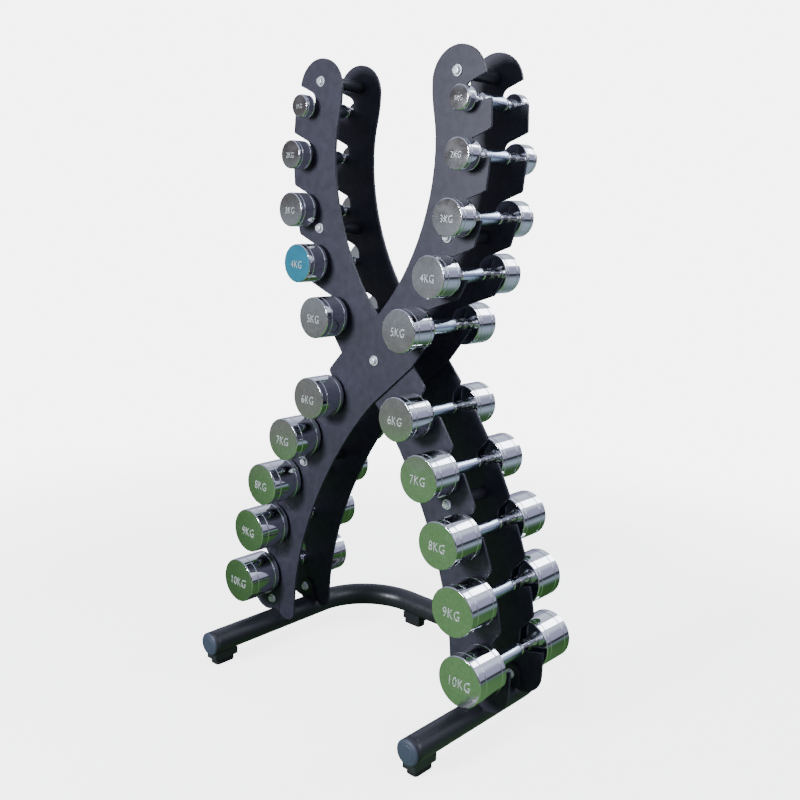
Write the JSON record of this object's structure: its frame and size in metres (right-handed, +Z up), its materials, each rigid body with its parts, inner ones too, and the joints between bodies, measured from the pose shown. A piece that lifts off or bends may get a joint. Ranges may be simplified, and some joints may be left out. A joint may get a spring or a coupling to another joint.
{
  "type": "dumbbell rack",
  "caption": "Crossed upright rack of two S-shaped plate frames on a bent tube base, with notches that hold pairs of chrome dumbbells in order of size.",
  "frame": {"origin": "on the floor, at the middle of the bounding box", "axes": "+Z up; the open ends of the base point to -Y, the front; +X is to the right seen from the front; frame A runs from the upper right to the lower left"},
  "size_m": [0.727, 0.515, 1.2718],
  "materials": {
    "frame_coat": "satin powder coat, near black with a violet cast",
    "tube_paint": "satin black paint",
    "head_chrome": "polished chrome plate",
    "zinc_bolt": "bright zinc plate",
    "cap_plastic": "moulded plastic, blue grey",
    "foot_rubber": "matt moulded rubber"
  },
  "bodies": {
    "rack": {"frame_a_front_plate": "frame_coat", "frame_b_front_plate": "frame_coat", "frame_a_rear_plate": "frame_coat", "frame_b_rear_plate": "frame_coat", "top_right_spacer": "tube_paint", "top_left_spacer": "tube_paint", "middle_right_spacer": "tube_paint", "middle_left_spacer": "tube_paint", "lower_right_spacer": "tube_paint", "lower_left_spacer": "tube_paint", "centre_spacer": "tube_paint", "top_right_bolt": "zinc_bolt", "top_left_bolt": "zinc_bolt", "middle_right_bolt": "zinc_bolt", "middle_left_bolt": "zinc_bolt", "lower_right_bolt": "zinc_bolt", "lower_left_bolt": "zinc_bolt", "centre_bolt": "zinc_bolt", "base_tube": "tube_paint", "right_end_cap": "cap_plastic", "left_end_cap": "cap_plastic", "front_left_tab": "tube_paint", "front_right_tab": "tube_paint", "rear_left_tab": "tube_paint", "rear_right_tab": "tube_paint", "front_left_tab_bolt": "zinc_bolt", "front_right_tab_bolt": "zinc_bolt", "rear_left_tab_bolt": "zinc_bolt", "rear_right_tab_bolt": "zinc_bolt", "front_left_foot_saddle": "tube_paint", "front_right_foot_saddle": "tube_paint", "rear_left_foot_saddle": "tube_paint", "rear_right_foot_saddle": "tube_paint", "front_left_foot_pad": "foot_rubber", "front_right_foot_pad": "foot_rubber", "rear_left_foot_pad": "foot_rubber", "rear_right_foot_pad": "foot_rubber"},
    "dumbbell_1kg_right": {"dumbbell_1kg_right": "head_chrome"},
    "dumbbell_1kg_left": {"dumbbell_1kg_left": "head_chrome"},
    "dumbbell_2kg_right": {"dumbbell_2kg_right": "head_chrome"},
    "dumbbell_2kg_left": {"dumbbell_2kg_left": "head_chrome"},
    "dumbbell_3kg_right": {"dumbbell_3kg_right": "head_chrome"},
    "dumbbell_3kg_left": {"dumbbell_3kg_left": "head_chrome"},
    "dumbbell_4kg_right": {"dumbbell_4kg_right": "head_chrome"},
    "dumbbell_4kg_left": {"dumbbell_4kg_left": "head_chrome"},
    "dumbbell_5kg_right": {"dumbbell_5kg_right": "head_chrome"},
    "dumbbell_5kg_left": {"dumbbell_5kg_left": "head_chrome"},
    "dumbbell_6kg_right": {"dumbbell_6kg_right": "head_chrome"},
    "dumbbell_6kg_left": {"dumbbell_6kg_left": "head_chrome"},
    "dumbbell_7kg_right": {"dumbbell_7kg_right": "head_chrome"},
    "dumbbell_7kg_left": {"dumbbell_7kg_left": "head_chrome"},
    "dumbbell_8kg_right": {"dumbbell_8kg_right": "head_chrome"},
    "dumbbell_8kg_left": {"dumbbell_8kg_left": "head_chrome"},
    "dumbbell_9kg_right": {"dumbbell_9kg_right": "head_chrome"},
    "dumbbell_9kg_left": {"dumbbell_9kg_left": "head_chrome"},
    "dumbbell_10kg_right": {"dumbbell_10kg_right": "head_chrome"},
    "dumbbell_10kg_left": {"dumbbell_10kg_left": "head_chrome"}
  },
  "joints": [
    {"name": "lift_1kg_right", "type": "slide", "parent": "rack", "child": "dumbbell_1kg_right", "axis": [0.9272, 0, 0.3746], "range_m": [0, 0.15]},
    {"name": "lift_1kg_left", "type": "slide", "parent": "rack", "child": "dumbbell_1kg_left", "axis": [-0.9272, 0, 0.3746], "range_m": [0, 0.15]},
    {"name": "lift_2kg_right", "type": "slide", "parent": "rack", "child": "dumbbell_2kg_right", "axis": [0.9272, 0, 0.3746], "range_m": [0, 0.15]},
    {"name": "lift_2kg_left", "type": "slide", "parent": "rack", "child": "dumbbell_2kg_left", "axis": [-0.9272, 0, 0.3746], "range_m": [0, 0.15]},
    {"name": "lift_3kg_right", "type": "slide", "parent": "rack", "child": "dumbbell_3kg_right", "axis": [0.9272, 0, 0.3746], "range_m": [0, 0.15]},
    {"name": "lift_3kg_left", "type": "slide", "parent": "rack", "child": "dumbbell_3kg_left", "axis": [-0.9272, 0, 0.3746], "range_m": [0, 0.15]},
    {"name": "lift_4kg_right", "type": "slide", "parent": "rack", "child": "dumbbell_4kg_right", "axis": [0.9272, 0, 0.3746], "range_m": [0, 0.15]},
    {"name": "lift_4kg_left", "type": "slide", "parent": "rack", "child": "dumbbell_4kg_left", "axis": [-0.9272, 0, 0.3746], "range_m": [0, 0.15]},
    {"name": "lift_5kg_right", "type": "slide", "parent": "rack", "child": "dumbbell_5kg_right", "axis": [0.9781, 0, 0.2079], "range_m": [0, 0.15]},
    {"name": "lift_5kg_left", "type": "slide", "parent": "rack", "child": "dumbbell_5kg_left", "axis": [-0.9781, 0, 0.2079], "range_m": [0, 0.15]},
    {"name": "lift_6kg_right", "type": "slide", "parent": "rack", "child": "dumbbell_6kg_right", "axis": [0.8192, 0, 0.5736], "range_m": [0, 0.15]},
    {"name": "lift_6kg_left", "type": "slide", "parent": "rack", "child": "dumbbell_6kg_left", "axis": [-0.8192, 0, 0.5736], "range_m": [0, 0.15]},
    {"name": "lift_7kg_right", "type": "slide", "parent": "rack", "child": "dumbbell_7kg_right", "axis": [0.8192, 0, 0.5736], "range_m": [0, 0.15]},
    {"name": "lift_7kg_left", "type": "slide", "parent": "rack", "child": "dumbbell_7kg_left", "axis": [-0.8192, 0, 0.5736], "range_m": [0, 0.15]},
    {"name": "lift_8kg_right", "type": "slide", "parent": "rack", "child": "dumbbell_8kg_right", "axis": [0.8192, 0, 0.5736], "range_m": [0, 0.15]},
    {"name": "lift_8kg_left", "type": "slide", "parent": "rack", "child": "dumbbell_8kg_left", "axis": [-0.8192, 0, 0.5736], "range_m": [0, 0.15]},
    {"name": "lift_9kg_right", "type": "slide", "parent": "rack", "child": "dumbbell_9kg_right", "axis": [0.8192, 0, 0.5736], "range_m": [0, 0.15]},
    {"name": "lift_9kg_left", "type": "slide", "parent": "rack", "child": "dumbbell_9kg_left", "axis": [-0.8192, 0, 0.5736], "range_m": [0, 0.15]},
    {"name": "lift_10kg_right", "type": "slide", "parent": "rack", "child": "dumbbell_10kg_right", "axis": [0.8192, 0, 0.5736], "range_m": [0, 0.15]},
    {"name": "lift_10kg_left", "type": "slide", "parent": "rack", "child": "dumbbell_10kg_left", "axis": [-0.8192, 0, 0.5736], "range_m": [0, 0.15]}
  ]
}
